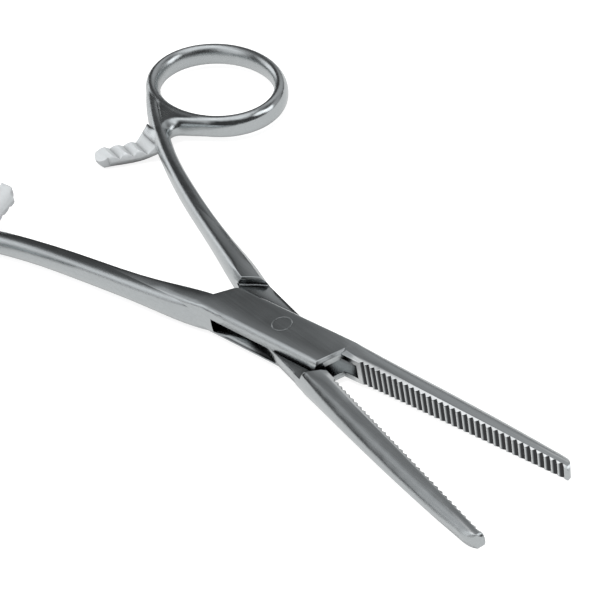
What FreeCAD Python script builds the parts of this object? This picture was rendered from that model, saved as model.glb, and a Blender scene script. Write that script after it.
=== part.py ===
import FreeCAD, Part
import math
import os

# Straight haemostat forceps with a box lock, opened. Millimetres.
# Each arm is drawn closed: the pin is on the Z axis, the jaws lie along +X and meet on the XZ
# plane, and half way up the box is Z = 0. The arms are then opened and set down so that the
# underside of the box is at Z = 0.

# Opening in the rest pose, degrees between the two jaw faces
OPENING = 16.7

# Box: two plates with a slot between them, and the pin through both
BOX_HEIGHT = 4.9
BOX_FLAT_NEAR = 3.1
BOX_FLAT_FAR = 2.4
BOX_SIDE_BULGE = 1.2
SLOT_HEIGHT = 2.4
TONGUE_PLAY = 0.08
PIN_RADIUS = 1.5
PIN_PLAY = 0.04

# Ends of the plates, which lie aslant across the box
REAR_NOTCH_X = 14.1
REAR_NOTCH_Y = 0.7
REAR_NOSE_X = 12.3
REAR_NOSE_Y = 2.1
REAR_NOSE_ROUND = 1.4
FRONT_CORNER_X = 10.0
FRONT_CROTCH_X = 11.5
FRONT_CHAMFER = 0.4
REAR_SHOULDER_GAP = 0.25
REAR_MIDDLE_GAP = 1.0
FRONT_SHOULDER_GAP = 0.4
FRONT_MIDDLE_GAP = 1.2
SHOULDER_ROOT_RADIUS = 0.3
SHOULDER_CHAMFER = 0.35

# Slot ends inside the box, and the tongue that runs in it
SLOT_END_SIDE_X = 11.2
SLOT_END_MIDDLE_X = 14.2
SLOT_END_MIDDLE_Y = 0.5
TONGUE_HALF_WIDTH = 3.55
TONGUE_TAPER_X = 2.0
TONGUE_END_X = 13.0
TONGUE_END_CORNER = 0.5
TONGUE_OVERLAP = 1.0

# Jaws: half-round bars with a flat, transversely serrated face and a bevel along its edges
JAW_TIP_X = 49.6
JAW_TIP_HEIGHT = 2.5
JAW_TIP_WIDTH = 2.0
JAW_TOP_FLAT = 1.45
JAW_TOP_FLAT_LEAST = 0.1
JAW_TOP_FALL = 3
JAW_WIDTH_FALL = 2.2
JAW_HEIGHT_FALL = 0.9
JAW_TIP_TURN_X = 0.63
JAW_TIP_TURN_Y = 1.116
JAW_TIP_SIDE_X = 2.88
JAW_TIP_SIDE_Y = 1.98
JAW_TIP_NOSE = 0.5
JAW_BEVEL_ROOT = 0.85
JAW_BEVEL_TIP = 0.3
JAW_BEVEL_DROP = 0.3
JAW_SECTIONS = 5
SERRATION_PITCH = 1.0
SERRATION_DEPTH = 0.42
SERRATION_START_X = 13.9
SERRATION_TIP_LAND = 0.8

# Shanks: centre line and section at five stations behind the pin
SHANK_STATIONS = (13.9, 36.0, 58.0, 72.0, 85.0)
TONGUE_SHANK_OFFSETS = (1.9, 4.5, 8.4, 12.6, 18.2)
BOX_SHANK_OFFSETS = (2.03, 5.1, 8.4, 12.6, 18.2)
TONGUE_SHANK_WIDTHS = (4.4, 3.2, 3.0, 3.2, 2.3)
BOX_SHANK_WIDTHS = (4.48, 3.3, 3.0, 3.2, 2.3)
TONGUE_SHANK_HEIGHTS = (BOX_HEIGHT, 3.9, 3.88, 3.88, 3.6)
BOX_SHANK_HEIGHTS = (BOX_HEIGHT, 3.9, 3.88, 3.88, 3.6)
SHANK_BULGES = (1.0, 0.65, 0.75, 1.1, 0.8)
TONGUE_SHANK_ROUNDNESS = (0.35, 0.35, 0.35, 0.5, 1.0)
BOX_SHANK_ROUNDNESS = (1.0, 0.35, 0.35, 0.5, 1.0)
SHANK_GAP = 0.2
SHANK_ROOT = 3.0
SMOOTH_HANDLE = 0.57
SHANK_SECTIONS = 9

# Finger rings: an oval path with an oval section, and the flat web in the crotch
RING_FRONT_X = 57.2
RING_INNER_Y = 14.85
RING_LONG_RADIUS = 15.7
RING_SHORT_RADIUS = 10.95
RING_TILT = 3.2
RING_SECTION_WIDTH = 2.65
RING_SECTION_HEIGHT = 4.25
WEB_HEIGHT = 3.86
WEB_EDGE = 0.75
WEB_BACK_X = 82.0
WEB_BACK_Y = 17.0
CROTCH_ANGLE = -45.0
CROTCH_HEADING = 222.0
CROTCH_RADIUS = 1.9
CROTCH_SINK = 0.08
CROTCH_LEVELS = 4

# Ratchet: a round-backed bar with V teeth across its flat side, flared into the shank
RATCHET_X = 69.1
RATCHET_WIDTH = 5.0
RATCHET_CREST_SHARE = 0.5
RATCHET_SIDE_SHARE = 0.45
RATCHET_THICKNESS = 3.1
RATCHET_LAP = 1.5
RATCHET_NOSE = 1.1
RATCHET_NOSE_ROUND = 1.6
RATCHET_PASS_GAP = 0.2
RATCHET_LEAN = 25.0
RATCHET_END_Y = 9.4
FLARE_LENGTH = 4.6
FLARE_WIDTH = 4.5
FLARE_BACK = 0.65
FLARE_SECTIONS = 5
FLARE_SINK = 0.15
FLARE_SPREAD = 2
FLARE_RISE = 1.6
TOOTH_PITCH = 2.25
TOOTH_DEPTH = 0.95
TOOTH_COUNT = 3
FIRST_CREST_Y = 0.7

RING_X = RING_FRONT_X + RING_LONG_RADIUS
RING_Y = RING_INNER_Y + RING_SHORT_RADIUS
HALF_BOX = BOX_HEIGHT / 2
HALF_SLOT = SLOT_HEIGHT / 2
BOX_SIDE_NEAR = BOX_FLAT_NEAR + BOX_SIDE_BULGE
BOX_SIDE_FAR = BOX_FLAT_FAR + BOX_SIDE_BULGE
REACH = 2 * JAW_TIP_X
CUTTER_MARGIN = 1.0
UP = FreeCAD.Vector(0, 0, 1)
ORIGIN = FreeCAD.Vector(0, 0, 0)


def point(x, y, z=0.0):
    return FreeCAD.Vector(x, y, z)


def blend(values, share):
    """Value at a share 0..1 of the way through evenly weighted values, eased between them."""
    steps = len(values) - 1
    place = min(max(share, 0.0), 1.0) * steps
    index = min(int(place), steps - 1)
    part = place - index
    ease = part * part * (3 - 2 * part)
    return values[index] + (values[index + 1] - values[index]) * ease


def wire(*edges):
    return Part.Wire(Part.__sortEdges__(list(edges)))


def line(a, b):
    return Part.makeLine(a, b)


def arc(a, middle, b):
    return Part.Arc(a, middle, b).toShape()


def prism(points, bottom, top):
    """Straight-sided block over an outline in plan."""
    outline = Part.makePolygon([point(p.x, p.y, bottom) for p in points + [points[0]]])
    return Part.Face(outline).extrude(point(0, 0, top - bottom))


def side_curve(edge, middle, roundness):
    """Quarter of a bar's side: from the edge of the flat to mid height, where it stands upright."""
    corner = point(middle.x, middle.y, edge.z)
    creased = edge + (middle - edge) * (1 / 3)
    smooth = edge + (corner - edge) * SMOOTH_HANDLE
    curve = Part.BezierCurve()
    curve.setPoles(
        [
            edge,
            creased + (smooth - creased) * roundness,
            middle + (corner - middle) * SMOOTH_HANDLE,
            middle,
        ]
    )
    return curve.toShape()


def flat_topped_section(low, high, half_height, bulge, roundness):
    """Bar section in the YZ plane: flat above and below, both sides bowed out by the bulge."""
    left = low + bulge
    right = high - bulge
    near = point(0, low, 0)
    far = point(0, high, 0)
    return wire(
        line(point(0, left, half_height), point(0, right, half_height)),
        side_curve(point(0, right, half_height), far, roundness),
        side_curve(point(0, right, -half_height), far, roundness),
        line(point(0, right, -half_height), point(0, left, -half_height)),
        side_curve(point(0, left, -half_height), near, roundness),
        side_curve(point(0, left, half_height), near, roundness),
    )


def centre_line(offsets):
    """Curve in plan that the shank on the +Y side follows."""
    curve = Part.BSplineCurve()
    curve.interpolate([point(-s, y) for s, y in zip(SHANK_STATIONS, offsets)])
    return curve


def shank(offsets, widths, heights, roundness):
    """Shank on the +Y side, lofted through sections that stand square to its centre line."""
    centre = centre_line(offsets)
    first = centre.FirstParameter
    span = centre.LastParameter - first
    sections = []
    for index in range(SHANK_SECTIONS):
        share = index / (SHANK_SECTIONS - 1)
        place = centre.value(first + span * share)
        direction = centre.tangent(first + span * share)[0]
        station_share = share_of_station(-place.x)
        half_width = blend(widths, station_share) / 2
        half_height = blend(heights, station_share) / 2
        bulge = blend(SHANK_BULGES, station_share)
        round_here = blend(roundness, station_share)
        section = flat_topped_section(-half_width, half_width, half_height, bulge, round_here)
        heading = math.degrees(math.atan2(direction.y, direction.x)) - 180
        section.rotate(ORIGIN, UP, heading)
        section.translate(place)
        sections.append(section)
    forward = centre.tangent(first)[0].normalize() * -SHANK_ROOT
    root = Part.Face(sections[0]).extrude(forward)
    return Part.makeLoft(sections, True, False).fuse(root)


def share_of_station(station):
    """Share 0..1 of the way through the shank's stations, each gap counting the same."""
    gaps = len(SHANK_STATIONS) - 1
    for index in range(gaps):
        start = SHANK_STATIONS[index]
        end = SHANK_STATIONS[index + 1]
        if station <= end or index == gaps - 1:
            return (index + (station - start) / (end - start)) / gaps


def ring_ellipse(grow):
    """The ring's oval path in plan, grown outwards by a distance."""
    ellipse = Part.Ellipse(ORIGIN, RING_LONG_RADIUS + grow, RING_SHORT_RADIUS + grow)
    path = Part.Wire(ellipse.toShape())
    path.rotate(ORIGIN, UP, RING_TILT)
    path.translate(point(-RING_X, RING_Y))
    return path


def finger_ring():
    """Oval ring on the +Y side: an oval section swept once round the oval path."""
    section = Part.Ellipse(ORIGIN, RING_SECTION_HEIGHT / 2, RING_SECTION_WIDTH / 2).toShape()
    section.rotate(ORIGIN, point(0, 1, 0), 90)
    section.rotate(ORIGIN, UP, 90)
    section.translate(point(RING_LONG_RADIUS, 0))
    section.rotate(ORIGIN, UP, RING_TILT)
    section.translate(point(-RING_X, RING_Y))
    return ring_ellipse(0).makePipeShell([Part.Wire(section)], True, True)


def beside_ring(angle, outwards):
    """Point at an angle round the ring's oval path, moved outwards square to the path."""
    along = math.radians(angle)
    place = point(RING_LONG_RADIUS * math.cos(along), RING_SHORT_RADIUS * math.sin(along))
    square = point(RING_SHORT_RADIUS * math.cos(along), RING_LONG_RADIUS * math.sin(along))
    turned = FreeCAD.Rotation(UP, RING_TILT).multVec(place + square.normalize() * outwards)
    return turned + point(-RING_X, RING_Y)


def crotch_outline(centre, shank_half, level):
    """Crotch in plan at one height: straight from the ring, then a hollow arc into the shank."""
    height_share = 2 * level / RING_SECTION_HEIGHT
    ring_half = RING_SECTION_WIDTH / 2 * math.sqrt(1 - height_share ** 2)
    heading = math.radians(CROTCH_HEADING)
    along = point(math.cos(heading), math.sin(heading))
    aside = point(-along.y, along.x)
    on_ring = beside_ring(CROTCH_ANGLE, ring_half - CROTCH_SINK)
    near = 0.0
    far = RING_LONG_RADIUS
    while far - near > 0.001:
        reach = (near + far) / 2
        hub = on_ring + along * reach + aside * CROTCH_RADIUS
        on_line = centre.value(centre.parameter(hub))
        if (hub - on_line).Length > CROTCH_RADIUS + shank_half:
            near = reach
        else:
            far = reach
    across = (on_line - hub).normalize()
    rise = point(0, 0, level)
    start = hub + across * (CROTCH_RADIUS + CROTCH_SINK) + rise
    end = on_ring + along * reach + rise
    middle = hub + (across - aside).normalize() * CROTCH_RADIUS + rise
    inside = point(-RING_X, RING_Y, level)
    back = point(-WEB_BACK_X, WEB_BACK_Y, level)
    return wire(
        arc(start, middle, end),
        line(end, on_ring + rise),
        line(on_ring + rise, inside),
        line(inside, back),
        line(back, start),
    )


def web(offsets, widths, roundness):
    """Flat web in the crotch, up to the ring's opening; its rounded front joins shank and ring."""
    half_width = widths[2] / 2
    edge = point(0, half_width - SHANK_BULGES[2], WEB_HEIGHT / 2)
    side = side_curve(edge, point(0, half_width), roundness[2]).Curve
    centre = centre_line(offsets)
    outlines = []
    for index in range(-CROTCH_LEVELS, CROTCH_LEVELS + 1):
        place = side.value(1 - abs(index) / CROTCH_LEVELS)
        outlines.append(crotch_outline(centre, place.y, math.copysign(place.z, index)))
    opening = Part.Face(ring_ellipse(WEB_EDGE - RING_SECTION_WIDTH / 2))
    opening = opening.extrude(point(0, 0, 2 * WEB_HEIGHT))
    opening.translate(point(0, 0, -WEB_HEIGHT))
    return Part.makeLoft(outlines, True, False).cut(opening)


def bar_section(y, grow, rise):
    """Section of the ratchet bar square to Y: flat toothed side above, rounded back below."""
    top = -RATCHET_PASS_GAP / 2
    bottom = top - RATCHET_THICKNESS
    flank_top = TONGUE_SHANK_HEIGHTS[2] / 2 - FLARE_SINK
    lean = (y + RATCHET_LAP) * math.tan(math.radians(RATCHET_LEAN))
    centre = -RATCHET_X + lean - FLARE_BACK * grow
    half = (RATCHET_WIDTH + FLARE_WIDTH * grow) / 2
    crest = half * RATCHET_CREST_SHARE
    high = top + (flank_top - top) * rise
    low = bottom + (-flank_top - bottom) * rise
    drop = (high - low) * RATCHET_SIDE_SHARE
    diagonal = math.sqrt(0.5)
    turn_x = crest + (half - crest) * diagonal
    turn_z = high - drop * (1 - diagonal)
    side_z = high - drop
    return wire(
        line(point(centre - crest, y, high), point(centre + crest, y, high)),
        arc(point(centre + crest, y, high), point(centre + turn_x, y, turn_z), point(centre + half, y, side_z)),
        arc(point(centre + half, y, side_z), point(centre, y, low), point(centre - half, y, side_z)),
        arc(point(centre - half, y, side_z), point(centre - turn_x, y, turn_z), point(centre - crest, y, high)),
    )


def ratchet():
    """Ratchet bar of the +Y handle, reaching across the middle; its teeth face up."""
    flare_start = RATCHET_END_Y - FLARE_LENGTH
    sections = [bar_section(-RATCHET_LAP, 0, 0), bar_section(flare_start / 2, 0, 0)]
    for index in range(FLARE_SECTIONS):
        share = index / (FLARE_SECTIONS - 1)
        y = flare_start + FLARE_LENGTH * share
        sections.append(bar_section(y, share ** FLARE_SPREAD, share ** FLARE_RISE))
    body = Part.makeLoft(sections, True, False)
    for index in range(TOOTH_COUNT):
        body = body.cut(tooth_groove(FIRST_CREST_Y + TOOTH_PITCH * (index + 0.5)))
    return body.common(rounded_in_plan()).cut(ratchet_nose())


def rounded_in_plan():
    """Block that rounds the ratchet bar's end as seen from above."""
    half = RATCHET_WIDTH / 2
    start = RATCHET_NOSE_ROUND - RATCHET_LAP
    wide = 4 * RATCHET_WIDTH
    left = point(-RATCHET_X - half, start, -BOX_HEIGHT)
    right = point(-RATCHET_X + half, start, -BOX_HEIGHT)
    far_left = point(-RATCHET_X - wide, start, -BOX_HEIGHT)
    far_right = point(-RATCHET_X + wide, start, -BOX_HEIGHT)
    length = point(0, 2 * RATCHET_END_Y)
    outline = wire(
        arc(left, point(-RATCHET_X, -RATCHET_LAP, -BOX_HEIGHT), right),
        line(right, far_right),
        line(far_right, far_right + length),
        line(far_right + length, far_left + length),
        line(far_left + length, far_left),
        line(far_left, left),
    )
    return Part.Face(outline).extrude(point(0, 0, 2 * BOX_HEIGHT))


def across_the_bar(corners):
    """Block along X over an outline in the YZ plane, wide enough to cut the whole ratchet bar."""
    start = -RATCHET_X - 2 * RATCHET_WIDTH
    outline = Part.makePolygon([point(start, y, z) for y, z in corners + [corners[0]]])
    return Part.Face(outline).extrude(point(4 * RATCHET_WIDTH, 0, 0))


def tooth_groove(y):
    """V groove between two teeth, parallel to the jaws."""
    top = -RATCHET_PASS_GAP / 2
    half = TOOTH_PITCH / 2
    above = top + TOOTH_DEPTH
    return across_the_bar(
        [(y - half, top), (y, top - TOOTH_DEPTH), (y + TOOTH_PITCH, above), (y - half, above)]
    )


def ratchet_nose():
    """What is taken off the bar's end: the slope of the first tooth and the corners beyond it."""
    top = -RATCHET_PASS_GAP / 2
    bottom = top - RATCHET_THICKNESS
    foot = FIRST_CREST_Y - TOOTH_PITCH / 2
    end = -RATCHET_LAP
    above = top + TOOTH_DEPTH
    beyond = end - RATCHET_NOSE
    slope = across_the_bar(
        [
            (FIRST_CREST_Y, top),
            (foot, top - TOOTH_DEPTH),
            (end, top - TOOTH_DEPTH - RATCHET_NOSE / 2),
            (beyond, top - TOOTH_DEPTH),
            (beyond, above),
            (FIRST_CREST_Y, above),
        ]
    )
    chin = across_the_bar(
        [
            (end, bottom + RATCHET_NOSE),
            (end + RATCHET_NOSE, bottom),
            (end + RATCHET_NOSE, bottom - RATCHET_NOSE),
            (beyond, bottom - RATCHET_NOSE),
        ]
    )
    return slope.fuse(chin)


def jaw_section(x, width, height, bevel, flat):
    """Jaw section on the +Y side: serrated face on the XZ plane, bevel, top flat and round back."""
    half = height / 2
    face = half - JAW_BEVEL_DROP
    outer = point(x, width, 0)
    return wire(
        line(point(x, 0, -face), point(x, 0, face)),
        line(point(x, 0, face), point(x, bevel, half)),
        line(point(x, bevel, half), point(x, flat, half)),
        side_curve(point(x, flat, half), outer, 1),
        side_curve(point(x, flat, -half), outer, 1),
        line(point(x, flat, -half), point(x, bevel, -half)),
        line(point(x, bevel, -half), point(x, 0, -face)),
    )


def jaw():
    """Jaw on the +Y side, level with the box at its root and rounded at the tip."""
    sections = []
    for index in range(JAW_SECTIONS):
        share = index / (JAW_SECTIONS - 1)
        x = FRONT_CROTCH_X + (JAW_TIP_X - FRONT_CROTCH_X) * share
        width = BOX_SIDE_FAR + (JAW_TIP_WIDTH - BOX_SIDE_FAR) * share ** JAW_WIDTH_FALL
        height = BOX_HEIGHT + (JAW_TIP_HEIGHT - BOX_HEIGHT) * share ** JAW_HEIGHT_FALL
        bevel = JAW_BEVEL_ROOT + (JAW_BEVEL_TIP - JAW_BEVEL_ROOT) * share
        flat = bevel + JAW_TOP_FLAT_LEAST + JAW_TOP_FLAT * (1 - share) ** JAW_TOP_FALL
        sections.append(jaw_section(x, width, height, bevel, flat))
    root = Part.Face(sections[0]).extrude(point(FRONT_CORNER_X - TONGUE_OVERLAP - FRONT_CROTCH_X, 0))
    body = Part.makeLoft(sections, True, False).fuse(root)
    return body.common(tip_in_plan()).common(tip_in_elevation())


def tip_in_plan():
    """Block that rounds the outer side of the tip as seen from above."""
    tip = JAW_TIP_X
    side = point(tip - JAW_TIP_SIDE_X, JAW_TIP_SIDE_Y)
    wide = point(0, 2 * BOX_SIDE_FAR)
    outline = wire(
        line(ORIGIN, point(tip, 0)),
        arc(point(tip, 0), point(tip - JAW_TIP_TURN_X, JAW_TIP_TURN_Y), side),
        line(side, wide),
        line(wide, ORIGIN),
    )
    block = Part.Face(outline).extrude(point(0, 0, BOX_HEIGHT))
    block.translate(point(0, 0, -HALF_BOX))
    return block


def tip_in_elevation():
    """Block that rounds the end of the tip as seen from the side."""
    tip = JAW_TIP_X
    half = JAW_TIP_HEIGHT / 2
    corner = tip - JAW_TIP_NOSE
    outline = wire(
        arc(point(corner, 0, half), point(tip, 0, 0), point(corner, 0, -half)),
        line(point(corner, 0, -half), point(0, 0, -BOX_HEIGHT)),
        line(point(0, 0, -BOX_HEIGHT), point(0, 0, BOX_HEIGHT)),
        line(point(0, 0, BOX_HEIGHT), point(corner, 0, half)),
    )
    return Part.Face(outline).extrude(point(0, 2 * BOX_SIDE_FAR, 0))


def serrations():
    """Row of V grooves across the jaw face, at even pitch."""
    last = JAW_TIP_X - SERRATION_TIP_LAND
    count = int((last - SERRATION_START_X) / SERRATION_PITCH)
    half = SERRATION_PITCH / 2
    grooves = []
    for index in range(count):
        x = last - half - index * SERRATION_PITCH
        profile = Part.makePolygon(
            [
                point(x - half, -SERRATION_DEPTH, -BOX_HEIGHT),
                point(x - half, 0, -BOX_HEIGHT),
                point(x, SERRATION_DEPTH, -BOX_HEIGHT),
                point(x + half, 0, -BOX_HEIGHT),
                point(x + half, -SERRATION_DEPTH, -BOX_HEIGHT),
                point(x - half, -SERRATION_DEPTH, -BOX_HEIGHT),
            ]
        )
        grooves.append(Part.Face(profile).extrude(point(0, 0, 2 * BOX_HEIGHT)))
    return Part.makeCompound(grooves)


def rear_edge(shift):
    """Rear end of the plates in plan, moved back by a gap: notch, nose, far side."""
    return [
        point(-REAR_NOTCH_X - shift, -REAR_NOTCH_Y),
        point(-REAR_NOSE_X - shift, REAR_NOSE_Y),
        point(-REAR_NOSE_X - shift + 2 * REAR_NOSE_ROUND, BOX_SIDE_FAR + CUTTER_MARGIN),
    ]


def plates():
    """Block of the box before the slot: flat above and below, with bowed sides."""
    section = flat_topped_section(-BOX_SIDE_NEAR, BOX_SIDE_FAR, HALF_BOX, BOX_SIDE_BULGE, 1)
    length = REAR_NOTCH_X + FRONT_CROTCH_X
    block = Part.Face(section).extrude(point(length, 0, 0))
    block.translate(point(-REAR_NOTCH_X, 0))
    far_behind = -2 * REAR_NOTCH_X
    corners = [point(far_behind, BOX_SIDE_FAR + CUTTER_MARGIN), point(far_behind, -REAR_NOTCH_Y)]
    behind = prism(rear_edge(0) + corners, -BOX_HEIGHT, BOX_HEIGHT)
    return block.cut(behind).cut(front_cutter(0, -BOX_HEIGHT, BOX_HEIGHT))


def front_cutter(shift, bottom, top):
    """Everything in front of the plates' slanting front edge, on the other jaw's side."""
    slope = (FRONT_CROTCH_X - FRONT_CORNER_X) / BOX_SIDE_NEAR
    beyond = BOX_SIDE_NEAR + CUTTER_MARGIN
    return prism(
        [
            point(FRONT_CROTCH_X + shift, 0),
            point(FRONT_CROTCH_X - slope * beyond + shift, -beyond),
            point(REACH, -beyond),
            point(REACH, 0),
        ],
        bottom,
        top,
    )


def front_chamfer():
    """Wedge that bevels the plates' front edge, above and below."""
    slope = (FRONT_CROTCH_X - FRONT_CORNER_X) / BOX_SIDE_NEAR
    angle = math.degrees(math.atan(slope))
    c = FRONT_CHAMFER
    profile = Part.makePolygon([point(0, 0, 0), point(-c, 0, 0), point(0, 0, -c), point(0, 0, 0)])
    wedge = Part.Face(profile).extrude(point(0, 2 * BOX_SIDE_NEAR, 0))
    wedge.translate(point(0, JAW_BEVEL_ROOT - 2 * BOX_SIDE_NEAR, HALF_BOX))
    wedge.rotate(ORIGIN, UP, -angle)
    wedge.translate(point(FRONT_CROTCH_X, 0))
    return wedge


def slot():
    """The space in the box for the tongue, open at the rear on one side and the front on the other."""
    side = SLOT_END_SIDE_X
    middle = SLOT_END_MIDDLE_X
    y = SLOT_END_MIDDLE_Y
    beyond = BOX_SIDE_NEAR + CUTTER_MARGIN
    half_outline = [point(-side, -beyond), point(-side, -BOX_SIDE_NEAR), point(-middle, -y), point(-middle, beyond)]
    other_half = [point(-p.x, -p.y) for p in half_outline]
    return prism(half_outline + other_half, -HALF_SLOT, HALF_SLOT)


def tongue():
    """Flat tongue of the other arm: full width at the pin, cut away on its two trailing corners."""
    half = HALF_SLOT - TONGUE_PLAY
    width = TONGUE_HALF_WIDTH
    rear = REAR_NOTCH_X + REAR_MIDDLE_GAP + TONGUE_OVERLAP
    outline = [
        point(-rear, 2 * SHANK_GAP),
        point(-TONGUE_TAPER_X, -width),
        point(FRONT_CORNER_X + TONGUE_OVERLAP, -width + SHANK_GAP),
        point(TONGUE_END_X + TONGUE_END_CORNER, -TONGUE_END_CORNER),
        point(TONGUE_END_X, -SHANK_GAP / 2),
        point(TONGUE_TAPER_X, width),
        point(-rear, width),
    ]
    return prism(outline, -half, half)


def pin_hole(radius):
    return Part.makeCylinder(radius, 2 * BOX_HEIGHT, point(0, 0, -BOX_HEIGHT))


def turned_over(shape):
    """The same piece turned half a turn about the long axis, so that it lies on the other side."""
    copy = shape.copy()
    copy.rotate(ORIGIN, point(1, 0, 0), 180)
    return copy


def handle(offsets, widths, heights, roundness):
    """Shank, finger ring, web and ratchet of an arm whose handle is on the +Y side."""
    past_middle = prism(
        [point(-REACH, -REACH), point(0, -REACH), point(0, SHANK_GAP / 2), point(-REACH, SHANK_GAP / 2)],
        -BOX_HEIGHT,
        BOX_HEIGHT,
    )
    bar = shank(offsets, widths, heights, roundness).cut(past_middle)
    flat_part = bar.fuse(web(offsets, widths, roundness))
    above = prism(
        [
            point(-REACH, -BOX_SIDE_NEAR),
            point(-SHANK_STATIONS[2], -BOX_SIDE_NEAR),
            point(-SHANK_STATIONS[2], REACH),
            point(-REACH, REACH),
        ],
        WEB_HEIGHT / 2,
        WEB_HEIGHT,
    )
    below = above.mirror(ORIGIN, UP)
    flat_part = flat_part.cut(above).cut(below)
    return flat_part.fuse([finger_ring(), ratchet()])


def box_arm():
    """Arm with the slotted box: handle on -Y, jaw on +Y."""
    grip = turned_over(
        handle(BOX_SHANK_OFFSETS, BOX_SHANK_WIDTHS, BOX_SHANK_HEIGHTS, BOX_SHANK_ROUNDNESS)
    )
    body = plates().fuse([grip, jaw()])
    chamfer = front_chamfer()
    under = chamfer.mirror(ORIGIN, UP)
    body = body.cut(chamfer).cut(under)
    body = body.cut(slot()).cut(pin_hole(PIN_RADIUS)).cut(serrations())
    return body.removeSplitter()


def shoulder_outline(grow, level):
    """Outline of the room for one plate between the tongue arm's two shoulders."""
    middle = rear_edge(REAR_MIDDLE_GAP + grow)[0]
    corners = [point(middle.x, -BOX_HEIGHT), middle] + rear_edge(REAR_SHOULDER_GAP + grow)[1:] + [
        point(0, BOX_HEIGHT),
        point(FRONT_CROTCH_X + FRONT_MIDDLE_GAP, 0),
        point(FRONT_CORNER_X + FRONT_SHOULDER_GAP, -BOX_SIDE_NEAR),
        point(FRONT_CORNER_X, -BOX_HEIGHT),
    ]
    return Part.makePolygon([point(p.x, p.y, level) for p in corners + [corners[0]]])


def shoulder_room(bottom, top):
    """Room for one plate between the tongue arm's two shoulders."""
    return Part.Face(shoulder_outline(0, bottom)).extrude(point(0, 0, top - bottom))


def shoulder_chamfer():
    """Bevel along the top edge of the rear shoulder."""
    foot = shoulder_outline(0, HALF_BOX - SHOULDER_CHAMFER)
    head = shoulder_outline(2 * SHOULDER_CHAMFER, HALF_BOX + SHOULDER_CHAMFER)
    return Part.makeLoft([foot, head], True, True)


def tongue_arm():
    """Arm with the tongue: handle on +Y, jaw on -Y."""
    grip = handle(
        TONGUE_SHANK_OFFSETS, TONGUE_SHANK_WIDTHS, TONGUE_SHANK_HEIGHTS, TONGUE_SHANK_ROUNDNESS
    )
    other_jaw = turned_over(jaw())
    room = shoulder_room(HALF_SLOT - TONGUE_PLAY, BOX_HEIGHT)
    feet = [edge for edge in room.Edges if edge.BoundBox.ZMax < HALF_SLOT]
    room = room.makeFillet(SHOULDER_ROOT_RADIUS, feet).fuse(shoulder_chamfer())
    body = grip.fuse(other_jaw).cut(room).cut(room.mirror(ORIGIN, UP))
    body = body.fuse(tongue())
    body = body.cut(pin_hole(PIN_RADIUS + PIN_PLAY)).cut(turned_over(serrations()))
    return body.removeSplitter()


def lock_pin():
    """Rivet pin, dressed flush with both faces of the box."""
    return Part.makeCylinder(PIN_RADIUS, BOX_HEIGHT, point(0, 0, -HALF_BOX))


def placed(shape, angle):
    """Opened by an angle about the pin and set down on the box's underside."""
    shape.rotate(ORIGIN, UP, angle)
    shape.translate(point(0, 0, HALF_BOX))
    return shape


os.makedirs("parts", exist_ok=True)
placed(box_arm(), OPENING / 2).exportStep("parts/box_arm.step")
placed(tongue_arm(), -OPENING / 2).exportStep("parts/tongue_arm.step")
placed(lock_pin(), OPENING / 2).exportStep("parts/lock_pin.step")
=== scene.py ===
import math

import bmesh
import bpy
from mathutils import Matrix, Vector


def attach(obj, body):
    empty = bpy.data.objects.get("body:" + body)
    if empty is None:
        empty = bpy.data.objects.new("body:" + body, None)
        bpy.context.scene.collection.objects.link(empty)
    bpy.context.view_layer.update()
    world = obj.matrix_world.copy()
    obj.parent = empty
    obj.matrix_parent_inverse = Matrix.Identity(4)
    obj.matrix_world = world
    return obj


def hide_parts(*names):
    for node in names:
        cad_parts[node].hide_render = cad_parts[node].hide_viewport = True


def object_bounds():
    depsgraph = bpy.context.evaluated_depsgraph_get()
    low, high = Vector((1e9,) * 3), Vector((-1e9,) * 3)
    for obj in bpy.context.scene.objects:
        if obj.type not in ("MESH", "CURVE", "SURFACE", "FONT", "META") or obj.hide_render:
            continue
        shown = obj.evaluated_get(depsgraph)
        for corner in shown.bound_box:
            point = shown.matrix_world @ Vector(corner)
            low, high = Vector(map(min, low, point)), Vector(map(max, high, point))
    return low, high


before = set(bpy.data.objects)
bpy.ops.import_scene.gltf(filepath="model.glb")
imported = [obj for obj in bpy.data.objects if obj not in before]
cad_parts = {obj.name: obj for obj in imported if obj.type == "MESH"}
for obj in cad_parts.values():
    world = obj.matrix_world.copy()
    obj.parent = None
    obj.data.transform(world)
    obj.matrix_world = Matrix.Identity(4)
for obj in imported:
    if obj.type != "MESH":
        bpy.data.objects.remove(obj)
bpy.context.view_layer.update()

# Real sizes in metres
MM = 0.001
MIDDLE_HEIGHT = 2.45 * MM
FLOOR_DROP = 0.02 * MM

# Places on each arm, measured along and across it from the pin. Across is positive on the side of
# the arm's own shank. Each arm lies turned by this angle from the middle between them.
ARM_TURN = math.radians(8.35)
JAW_ROOT = 13.9 * MM
JAW_LAND = 48.6 * MM
BOX_REAR = -14 * MM
BOX_EDGE = 4.4 * MM
RING_FRONT = -60 * MM
RING_INNER = 17 * MM
RATCHET_FRONT = -62 * MM
RATCHET_FLARE = 9.3 * MM
# The painted shade on the milled walls reaches this far above and below the middle of the slot, and
# along from the pin
SLOT_SHADE_HEIGHT = 1.3 * MM
SLOT_SHADE_LENGTH = 14.5 * MM

# How soft the edges are, and how far the box's faces roll off
CRISP_EDGE = 0.15 * MM
SOFT_EDGE = 1.3 * MM
WEB_EDGE = 0.8 * MM
CROWN_FALL = 0.9 * MM

# Tones of the steel
SATIN_ARM = "#b6babb"
GROUND_PIN = "#b2b6b7"
# Painted shade for hollows and corners, mixed in where walls close the steel in
HOLLOW_SHADE = "#161718"
# Painted shade on the walls inside the box and its throat
SLOT_WALL_SHADE = "#2c2d2e"
# Painted shade at the roots of the serrations
TOOTH_ROOT_SHADE = "#3a3b3c"
# Painted highlight on the jaw's bevel and the crests of its serrations
PAINTED_EDGE_HIGHLIGHT = "#d8dada"
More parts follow.
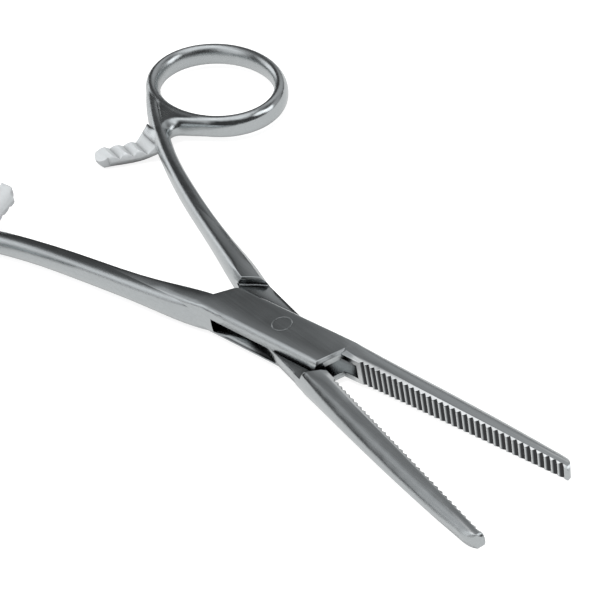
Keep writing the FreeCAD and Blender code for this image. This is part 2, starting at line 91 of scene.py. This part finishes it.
# Ratchet: painted shade in its gullets, and its own pale blasted tone
RATCHET_GULLET_SHADE = "#7c7e7f"
BLASTED_FACE = "#cdd0d1"

# Grinding lines about 0.3 mm apart and 17 mm long, as noise cells to a metre along each axis; real
# ones are finer, and these are as coarse as they need to show. Then their depth.
LINE_SCALE = (60.0, 4200.0, 2600.0)
LINE_DEPTH = 0.02 * MM
# Handling marks: patches of 4 mm, as noise cells to a metre
PATCH_SCALE = 240.0
# How far the painted shade reaches from a wall onto the steel beside it
HOLLOW_SHADE_REACH = 2.2 * MM


def linear(hex_colour):
    """sRGB hex value as linear RGBA."""
    channels = [int(hex_colour[i : i + 2], 16) / 255 for i in (1, 3, 5)]
    return [c / 12.92 if c <= 0.04045 else ((c + 0.055) / 1.055) ** 2.4 for c in channels] + [1.0]


def node(tree, kind, settings=None, **links):
    """Adds a node; settings are attributes or input values, links are input name = output socket."""
    new = tree.nodes.new(kind)
    for key, value in (settings or {}).items():
        if hasattr(new, key):
            setattr(new, key, value)
        else:
            new.inputs[key].default_value = value
    for key, socket in links.items():
        place = new.inputs[int(key[1:])] if key[0] == "i" and key[1:].isdigit() else new.inputs[key]
        tree.links.new(socket, place)
    return new


def fresh_material(name):
    """A material with an empty node tree."""
    material = bpy.data.materials.new(name)
    material.use_nodes = True
    material.node_tree.nodes.clear()
    return material


def eased(tree, value, start, end, low=0.0, high=1.0):
    """Eases from low to high while the value goes from start to end."""
    settings = {
        "interpolation_type": "SMOOTHSTEP",
        "From Min": start,
        "From Max": end,
        "To Min": low,
        "To Max": high,
    }
    return node(tree, "ShaderNodeMapRange", settings, Value=value).outputs["Result"]


def sum_of(tree, first, second):
    return node(tree, "ShaderNodeMath", {"operation": "ADD"}, i0=first, i1=second).outputs[0]


def product(tree, *values):
    result = values[0]
    for value in values[1:]:
        result = node(tree, "ShaderNodeMath", {"operation": "MULTIPLY"}, i0=result, i1=value).outputs[0]
    return result


def distance_along(tree, place, direction):
    """Place measured along a direction in the object's own axes."""
    measured = node(tree, "ShaderNodeVectorMath", {"operation": "DOT_PRODUCT"}, i0=place)
    measured.inputs[1].default_value = direction
    return measured.outputs["Value"]


def colour_mix(tree, share, first, second, blend="MIX"):
    """Mixes two colours; either may be a socket or a hex colour, and so may the share be a number."""
    mix = node(tree, "ShaderNodeMix", {"data_type": "RGBA", "blend_type": blend})
    for place, value in ((0, share), (6, first), (7, second)):
        if isinstance(value, bpy.types.NodeSocket):
            tree.links.new(value, mix.inputs[place])
        else:
            mix.inputs[place].default_value = linear(value) if isinstance(value, str) else value
    return mix.outputs[2]


def ratchet_share(tree, along, across):
    """One on the ratchet bar and its flare, none on the shank."""
    behind = eased(tree, along, RATCHET_FRONT + 2 * MM, RATCHET_FRONT)
    inside = eased(tree, across, RATCHET_FLARE, RATCHET_FLARE - 2.2 * MM)
    return product(tree, behind, inside)


def size_of(tree, value):
    return node(tree, "ShaderNodeMath", {"operation": "ABSOLUTE"}, i0=value).outputs[0]


def level_share(tree):
    """One where a face lies level, none where it stands upright."""
    facing = node(tree, "ShaderNodeNewGeometry").outputs["Normal"]
    return size_of(tree, node(tree, "ShaderNodeSeparateXYZ", Vector=facing).outputs["Z"])


def serrated_length(tree, along):
    """One between the jaw's root and its tip, where the face is serrated."""
    on_jaw = eased(tree, along, JAW_ROOT - 1 * MM, JAW_ROOT)
    before_tip = eased(tree, along, JAW_LAND + 0.4 * MM, JAW_LAND)
    return product(tree, on_jaw, before_tip)


def groove_shade_share(tree, along, across):
    """Painted shade: one at the roots of the serrations across the jaw's face, none on their crests."""
    shallow = eased(tree, across, -0.04 * MM, -0.24 * MM)
    deep = eased(tree, across, -0.9 * MM, -0.6 * MM)
    steep = eased(tree, level_share(tree), 0.6, 0.3)
    return product(tree, shallow, deep, serrated_length(tree, along), steep)


def edge_highlight_share(tree, along, across):
    """One on the bevel beside the serrated face and on its crests, where a highlight is painted."""
    level = level_share(tree)
    near_face = eased(tree, across, -1.3 * MM, -1.0 * MM)
    bevel = product(tree, near_face, eased(tree, level, 0.35, 0.5), eased(tree, level, 0.99, 0.96))
    crest = product(tree, eased(tree, across, -0.14 * MM, -0.03 * MM), eased(tree, level, 0.5, 0.3))
    return product(tree, sum_of(tree, bevel, crest), serrated_length(tree, along))


def slot_shade_share(tree, place, along, open_air):
    """Painted shade: one on the walls inside the box and its throat where they lie closed in, none
    elsewhere.
    """
    level = node(tree, "ShaderNodeSeparateXYZ", Vector=place).outputs["Z"]
    off_middle = node(tree, "ShaderNodeMath", {"operation": "SUBTRACT"}, i0=level)
    off_middle.inputs[1].default_value = MIDDLE_HEIGHT
    return product(
        tree,
        eased(tree, size_of(tree, off_middle.outputs[0]), SLOT_SHADE_HEIGHT + 0.6 * MM, SLOT_SHADE_HEIGHT),
        eased(tree, size_of(tree, along), SLOT_SHADE_LENGTH + 1 * MM, SLOT_SHADE_LENGTH),
        eased(tree, open_air, 0.93, 0.72),
    )


def crown(tree, along, across):
    """Height of the box's faces: level in the middle, rolled off to the long edge on the shank's
    side. It fades out rearwards along the shank."""
    settings = {"From Max": BOX_EDGE, "To Max": 1.0}
    share = node(tree, "ShaderNodeMapRange", settings, Value=across).outputs["Result"]
    on_box = eased(tree, along, 3 * BOX_REAR, BOX_REAR, 0.0, -CROWN_FALL)
    return product(tree, share, share, share, on_box)


def edge_radius(tree, along, across):
    """Tumbled handles and the box's long edges are soft, the serrated faces and plate ends crisp."""
    off_ring = eased(tree, across, RING_INNER + 3 * MM, RING_INNER)
    on_handle = product(tree, eased(tree, along, BOX_REAR, BOX_REAR - 6 * MM), off_ring)
    on_web = product(tree, eased(tree, along, RING_FRONT - 2 * MM, RING_FRONT - 6 * MM), off_ring)
    on_ratchet = ratchet_share(tree, along, across)
    on_plate = product(
        tree,
        eased(tree, size_of(tree, along), 10 * MM, 8 * MM),
        eased(tree, size_of(tree, across), 2.6 * MM, 3.6 * MM),
    )
    on_back = product(
        tree,
        eased(tree, along, JAW_ROOT - 2 * MM, JAW_ROOT + 2 * MM),
        eased(tree, across, -0.7 * MM, -1.4 * MM),
    )
    soft = sum_of(tree, sum_of(tree, on_handle, on_back), on_plate)
    radius = eased(tree, soft, 0.0, 1.0, CRISP_EDGE, SOFT_EDGE)
    radius = sum_of(tree, radius, eased(tree, on_web, 0.0, 1.0, 0.0, WEB_EDGE - SOFT_EDGE))
    return product(tree, radius, eased(tree, on_ratchet, 0.0, 1.0, 1.0, 0.25))


def satin_stainless(name, base, rough_flat, rough_polished, turn, shank_side):
    """Forged stainless steel, ground along its length to a satin face; the finger rings are buffed
    brighter and the ratchet is left matt from blasting. Gives the eye soft, long reflections with
    fine lines and a pale matt ratchet, with painted shade in the hollows, the box's slot, the
    serration roots and the ratchet's gullets, and a painted highlight on the jaw's bevel and crests."""
    material = fresh_material(name)
    tree = material.node_tree
    place = node(tree, "ShaderNodeTexCoord").outputs["Object"]
    along = distance_along(tree, place, (math.cos(turn), math.sin(turn), 0))
    across = distance_along(tree, place, (-shank_side * math.sin(turn), shank_side * math.cos(turn), 0))
    ratchet = ratchet_share(tree, along, across)

    # Grinding lines run along the instrument
    stretched = node(tree, "ShaderNodeMapping", {"Scale": LINE_SCALE}, Vector=place)
    fine = {"Scale": 1.0, "Detail": 3.0, "Roughness": 0.6}
    lines = node(tree, "ShaderNodeTexNoise", fine, Vector=stretched.outputs["Vector"]).outputs["Fac"]
    # Handling marks have a slightly different sheen
    marks = {"Scale": PATCH_SCALE, "Detail": 2.0}
    patches = node(tree, "ShaderNodeTexNoise", marks, Vector=place).outputs["Fac"]

    # Roughness: satin on the flats, buffed on the rings, matt on the ratchet
    rough = eased(tree, along, RING_FRONT, RING_FRONT - 10 * MM, rough_flat, rough_polished)
    rough = sum_of(tree, rough, eased(tree, patches, 0.3, 0.7, -0.04, 0.04))
    rough = sum_of(tree, rough, eased(tree, lines, 0.3, 0.7, -0.02, 0.02))
    rough = sum_of(tree, rough, eased(tree, ratchet, 0.0, 1.0, 0.0, 0.3))

    # Painted shade: the steel is darkened where nearby walls close it in, inside the box, at the roots
    # of the teeth and close to the table
    hollow = node(tree, "ShaderNodeAmbientOcclusion", {"Distance": HOLLOW_SHADE_REACH, "samples": 8})
    open_air = hollow.outputs["AO"]
    colour = colour_mix(tree, eased(tree, open_air, 0.15, 0.62), HOLLOW_SHADE, base)
    # Painted shade on the walls inside the box and its throat
    colour = colour_mix(tree, slot_shade_share(tree, place, along, open_air), colour, SLOT_WALL_SHADE)
    # Painted highlight on the jaw's bevel and the crests of its serrations
    edge_highlight = edge_highlight_share(tree, along, across)
    colour = colour_mix(tree, edge_highlight, colour, PAINTED_EDGE_HIGHLIGHT)
    # Painted shade at the roots of the serrations
    colour = colour_mix(tree, groove_shade_share(tree, along, across), colour, TOOTH_ROOT_SHADE)
    # The ratchet's own pale tone, with painted shade where its teeth close in
    blasted_and_shade = colour_mix(tree, eased(tree, open_air, 0.4, 0.9), RATCHET_GULLET_SHADE, BLASTED_FACE)
    colour = colour_mix(tree, ratchet, colour, blasted_and_shade)
    tone = eased(tree, lines, 0.35, 0.65, 0.97, 1.02)
    colour = colour_mix(tree, 1.0, colour, tone, "MULTIPLY")

    # Edges softened by tumbling, then the roll-off of the box's faces, then the grinding lines
    edge = node(tree, "ShaderNodeBevel", {"samples": 8}, Radius=edge_radius(tree, along, across))
    crowned = node(
        tree,
        "ShaderNodeBump",
        {"Strength": 1.0, "Distance": 1.0},
        Height=crown(tree, along, across),
        Normal=edge.outputs["Normal"],
    )
    relief = node(
        tree,
        "ShaderNodeBump",
        {"Strength": 0.06, "Distance": LINE_DEPTH},
        Height=lines,
        Normal=crowned.outputs["Normal"],
    )
    steel = node(
        tree,
        "ShaderNodeBsdfPrincipled",
        Metallic=product(
            tree, eased(tree, ratchet, 0.0, 1.0, 1.0, 0.3), eased(tree, edge_highlight, 0.0, 1.0, 1.0, 0.85)
        ),
        Roughness=rough,
        Normal=relief.outputs["Normal"],
    )
    tree.links.new(colour, steel.inputs["Base Color"])
    node(tree, "ShaderNodeOutputMaterial", Surface=steel.outputs["BSDF"])
    return material


# Corners closer than this are one, and faces that meet at less than this angle are one surface
MERGE_DISTANCE = 0.0005 * MM
SMOOTH_ANGLE = math.radians(24)


def finished_copy(node_name, piece_name, material, body):
    """The piece as it leaves the polisher: the solid's own mesh, merged, with smooth faces."""
    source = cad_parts[node_name]
    mesh = source.data.copy()
    work = bmesh.new()
    work.from_mesh(mesh)
    bmesh.ops.remove_doubles(work, verts=work.verts, dist=MERGE_DISTANCE)
    for edge in work.edges:
        edge.smooth = len(edge.link_faces) == 2 and edge.calc_face_angle(0) < SMOOTH_ANGLE
    for face in work.faces:
        face.smooth = True
    work.to_mesh(mesh)
    work.free()
    mesh.materials.clear()
    mesh.materials.append(material)
    piece = bpy.data.objects.new(piece_name, mesh)
    bpy.context.scene.collection.objects.link(piece)
    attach(piece, body)
    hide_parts(node_name)
    return piece


box_arm_steel = satin_stainless("satin_ground_box_arm_steel", SATIN_ARM, 0.17, 0.25, ARM_TURN, -1)
tongue_arm_steel = satin_stainless("satin_ground_tongue_arm_steel", SATIN_ARM, 0.17, 0.25, -ARM_TURN, 1)
pin_steel = satin_stainless("flush_ground_pin_steel", GROUND_PIN, 0.2, 0.2, ARM_TURN, -1)

box_arm = finished_copy("box_arm", "box_arm_forging", box_arm_steel, "box_arm_body")
tongue_arm = finished_copy("tongue_arm", "tongue_arm_forging", tongue_arm_steel, "tongue_arm_body")
lock_pin = finished_copy("lock_pin", "lock_pin_rivet", pin_steel, "box_arm_body")


# Table: half its length in metres, and how strongly its white shows in the steel
TABLE_REACH = 1.5
TABLE_IN_STEEL = 0.52


def floor_material():
    """Matt white table paper. It shows white to the camera and pale grey in the steel, and keeps
    the shadow of the forceps."""
    material = fresh_material("matt_white_table_paper")
    tree = material.node_tree
    path = node(tree, "ShaderNodeLightPath")
    in_steel = eased(tree, path.outputs["Is Glossy Ray"], 0.0, 1.0, 0.0, TABLE_IN_STEEL)
    seen = sum_of(tree, path.outputs["Is Camera Ray"], in_steel)
    seen = sum_of(tree, seen, path.outputs["Is Transmission Ray"])
    paper = node(tree, "ShaderNodeBsdfDiffuse", {"Color": linear("#9c9c9c")})
    glow = node(tree, "ShaderNodeEmission", {"Color": linear("#f0f0f0")}, Strength=seen)
    both = node(tree, "ShaderNodeAddShader", i0=paper.outputs[0], i1=glow.outputs[0])
    node(tree, "ShaderNodeOutputMaterial", Surface=both.outputs[0])
    return material


def studio_floor():
    """The table that the forceps lie on."""
    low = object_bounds()[0]
    mesh = bpy.data.meshes.new("table")
    height = low[2] - FLOOR_DROP
    sides = ((-1, -1), (1, -1), (1, 1), (-1, 1))
    corners = [(TABLE_REACH * x, TABLE_REACH * y, height) for x, y in sides]
    mesh.from_pydata(corners, [], [(0, 1, 2, 3)])
    table = bpy.data.objects.new("table", mesh)
    mesh.materials.append(floor_material())
    bpy.context.scene.collection.objects.link(table)


def bearing_vector(far_side, bearing, height):
    """Direction at a bearing from the far side of the table, right being positive, and a height."""
    right = Vector((far_side.y, -far_side.x, 0))
    level = far_side * math.cos(bearing) + right * math.sin(bearing)
    return level * math.cos(height) + Vector((0, 0, math.sin(height)))


def soft_box(tree, direction, centre, core, reach, level):
    """Round soft box in the room: full light inside the core angle, none past the reach."""
    facing = node(tree, "ShaderNodeVectorMath", {"operation": "DOT_PRODUCT"}, i0=direction)
    facing.inputs[1].default_value = centre
    rim = math.cos(math.radians(reach))
    middle = math.cos(math.radians(core))
    return eased(tree, facing.outputs["Value"], rim, middle, 0.0, level)


# Light level of the room, and its soft boxes: bearing and height of the centre, core and reach in
# degrees, and light level. Bearing 0 is straight across the table and right is positive.
ROOM_LEVEL = 0.07
SOFT_BOXES = [
    (0, 90, 10, 60, 0.35),
    (-140, 75, 12, 42, 0.85),
    (170, 48, 8, 20, 0.5),
    (-99, 25, 10, 28, 0.95),
    (-80, 50, 8, 28, 0.5),
    (-42, 15, 8, 21, 1.4),
    (108, 17, 7, 18, 1.8),
    (128, 31, 8, 19, 1.8),
    (85, 12, 8, 28, 0.45),
    (38, 31, 8, 36, 0.5),
]


def studio_world(far_side):
    """Dim room with soft boxes overhead, behind the camera and at both sides; the wall straight
    across the table stays dark. Gives the flat steel its grey and the round steel its bands."""
    world = bpy.data.worlds.new("soft_box_room")
    bpy.context.scene.world = world
    world.use_nodes = True
    tree = world.node_tree
    tree.nodes.clear()
    direction = node(tree, "ShaderNodeTexCoord").outputs["Generated"]
    room = node(tree, "ShaderNodeValue")
    room.outputs[0].default_value = ROOM_LEVEL
    light = room.outputs[0]
    for bearing, height, core, reach, level in SOFT_BOXES:
        centre = bearing_vector(far_side, math.radians(bearing), math.radians(height))
        light = sum_of(tree, light, soft_box(tree, direction, centre, core, reach, level))
    # The camera sees a plain white wall where the table ends
    seen = node(tree, "ShaderNodeLightPath").outputs["Is Camera Ray"]
    light = node(tree, "ShaderNodeMath", {"operation": "MAXIMUM"}, i0=light, i1=seen)
    sky = node(tree, "ShaderNodeBackground", Strength=light.outputs[0])
    sky.inputs["Color"].default_value = linear("#fcfdff")
    node(tree, "ShaderNodeOutputWorld", Surface=sky.outputs[0])


# Overhead soft box that draws the shadow: place and width in metres, power in watts
LAMP_PLACE = Vector((0.05, -0.1, 0.7))
LAMP_WIDTH = 0.5
LAMP_POWER = 4.3


def soft_lamp():
    """A round soft box above the table, aimed at the pin. The steel doesn't show it."""
    lamp = bpy.data.lights.new("overhead_softbox", "AREA")
    lamp.shape = "DISK"
    lamp.size = LAMP_WIDTH
    lamp.energy = LAMP_POWER
    holder = bpy.data.objects.new("overhead_softbox", lamp)
    holder.location = LAMP_PLACE
    holder.visible_glossy = False
    holder.rotation_euler = (-LAMP_PLACE).to_track_quat("-Z", "Y").to_euler()
    bpy.context.scene.collection.objects.link(holder)


# The photograph's camera: direction, roll and distance solved from the outline of the forceps
CAMERA_AZIMUTH = math.radians(-30.56)
CAMERA_ELEVATION = math.radians(37.37)
CAMERA_ROLL = math.radians(-12.14)
CAMERA_TARGET = Vector((-6.491, 6.951, 2.45)) * MM
CAMERA_DISTANCE = 211.9 * MM
FOCAL_PIXELS = 1408.4
FRAME_PIXELS = 591
SENSOR_WIDTH = 36.0


def photo_camera():
    """Stands the camera where the photograph was taken, and gives the direction to it."""
    back = Vector(
        (
            math.cos(CAMERA_ELEVATION) * math.cos(CAMERA_AZIMUTH),
            math.cos(CAMERA_ELEVATION) * math.sin(CAMERA_AZIMUTH),
            math.sin(CAMERA_ELEVATION),
        )
    )
    level = Vector((0, 0, 1)).cross(back).normalized()
    upright = back.cross(level)
    right = level * math.cos(CAMERA_ROLL) + upright * math.sin(CAMERA_ROLL)
    up = upright * math.cos(CAMERA_ROLL) - level * math.sin(CAMERA_ROLL)
    lens = bpy.data.cameras.new("photo_camera")
    lens.sensor_width = SENSOR_WIDTH
    lens.lens = FOCAL_PIXELS * SENSOR_WIDTH / FRAME_PIXELS
    lens.clip_start = 0.01
    camera = bpy.data.objects.new("photo_camera", lens)
    turn = Matrix((right, up, back)).transposed().to_4x4()
    camera.matrix_world = Matrix.Translation(CAMERA_TARGET + back * CAMERA_DISTANCE) @ turn
    bpy.context.scene.collection.objects.link(camera)
    bpy.context.scene.camera = camera
    return back


camera_side = photo_camera()
flat_side = Vector((camera_side.x, camera_side.y, 0)).normalized()
studio_floor()
studio_world(-flat_side)
soft_lamp()

bpy.context.scene.view_settings.view_transform = "Standard"
